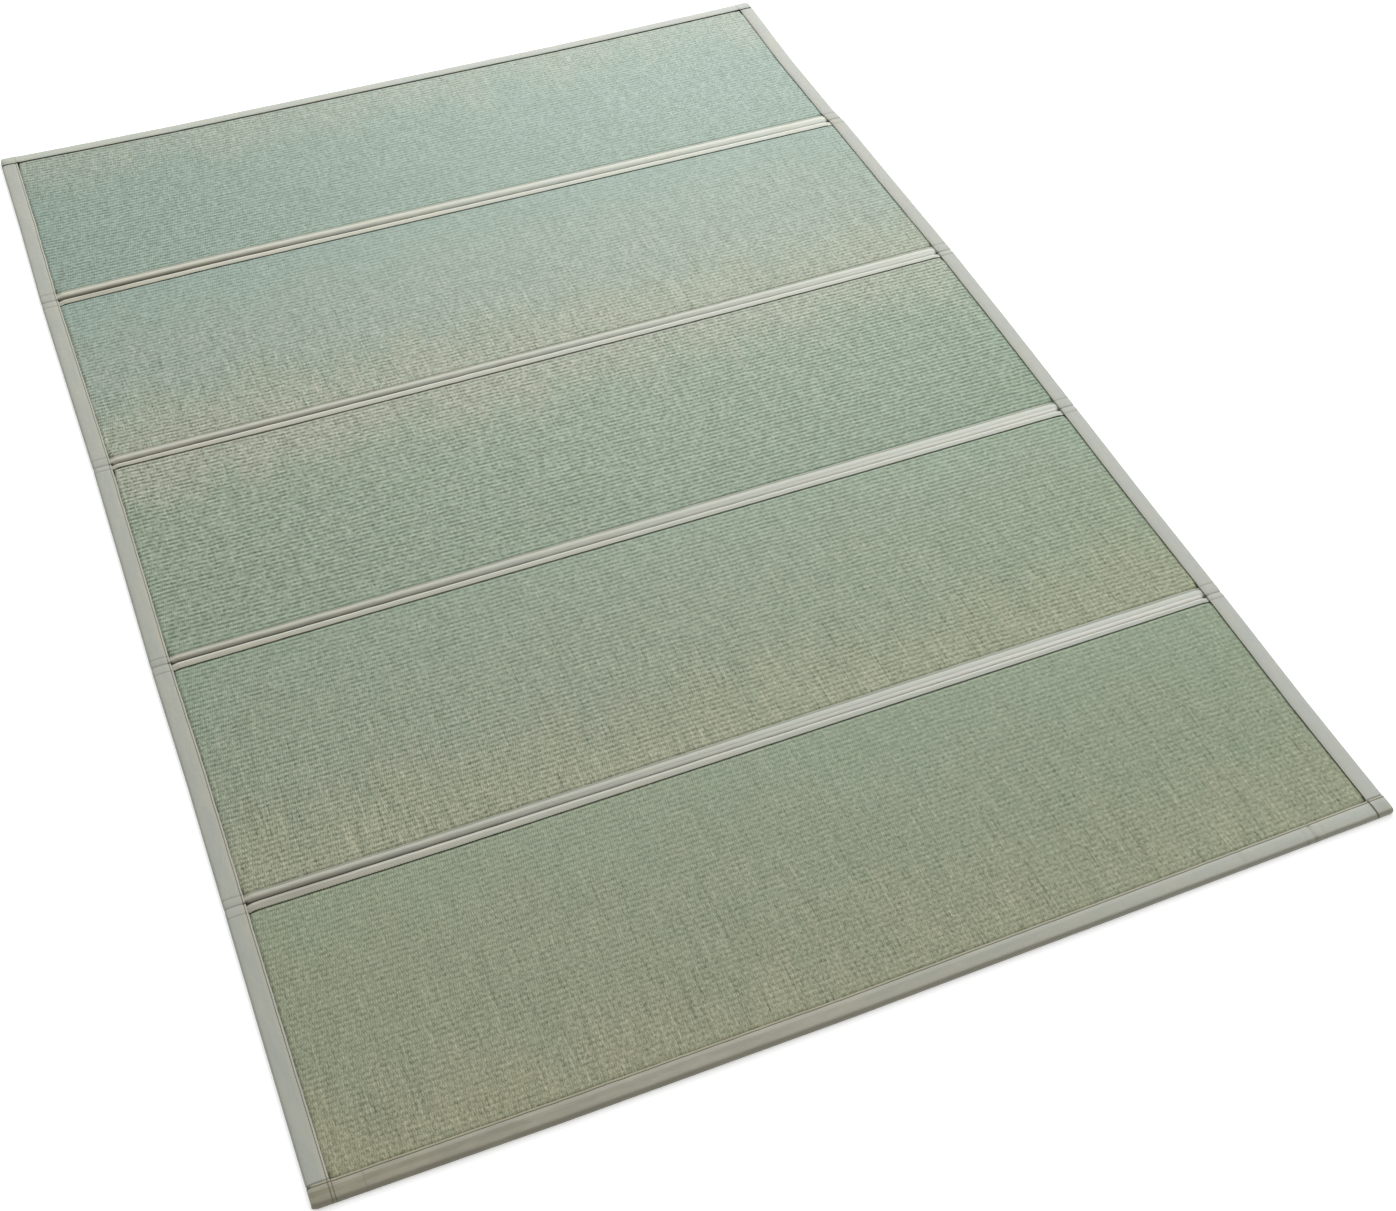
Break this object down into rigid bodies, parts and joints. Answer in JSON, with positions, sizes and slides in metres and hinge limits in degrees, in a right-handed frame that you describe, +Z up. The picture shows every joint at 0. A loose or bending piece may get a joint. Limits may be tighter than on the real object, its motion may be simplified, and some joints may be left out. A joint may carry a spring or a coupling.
{
  "type": "folding rush floor mat",
  "caption": "Folding floor mat of woven rush panels, bound all round and along its fold lines with cloth tape, lying open and flat.",
  "frame": {"origin": "on the floor under the middle of the open mat", "axes": "+Y the long way, towards the back edge, across the fold lines; +X to the right along the fold lines; +Z up"},
  "size_m": [1.414, 2.06, 0.0099],
  "materials": {
    "rush": "woven rush, low silky sheen, green with straw-coloured streaks",
    "edge_tape": "fine twill cotton tape, grey beige, matt",
    "joint_tape": "fine twill cotton tape, light beige, matt"
  },
  "bodies": {
    "root": {"panel_1": "rush", "panel_2": "rush", "panel_3": "rush", "panel_4": "rush", "panel_5": "rush", "side_binding_left": "edge_tape", "side_binding_right": "edge_tape", "end_binding_back": "edge_tape", "end_binding_front": "edge_tape", "joint_1_far": "joint_tape", "joint_1_near": "joint_tape", "joint_2_far": "joint_tape", "joint_2_near": "joint_tape", "joint_3_far": "joint_tape", "joint_3_near": "joint_tape", "joint_4_far": "joint_tape", "joint_4_near": "joint_tape"}
  },
  "joints": []
}
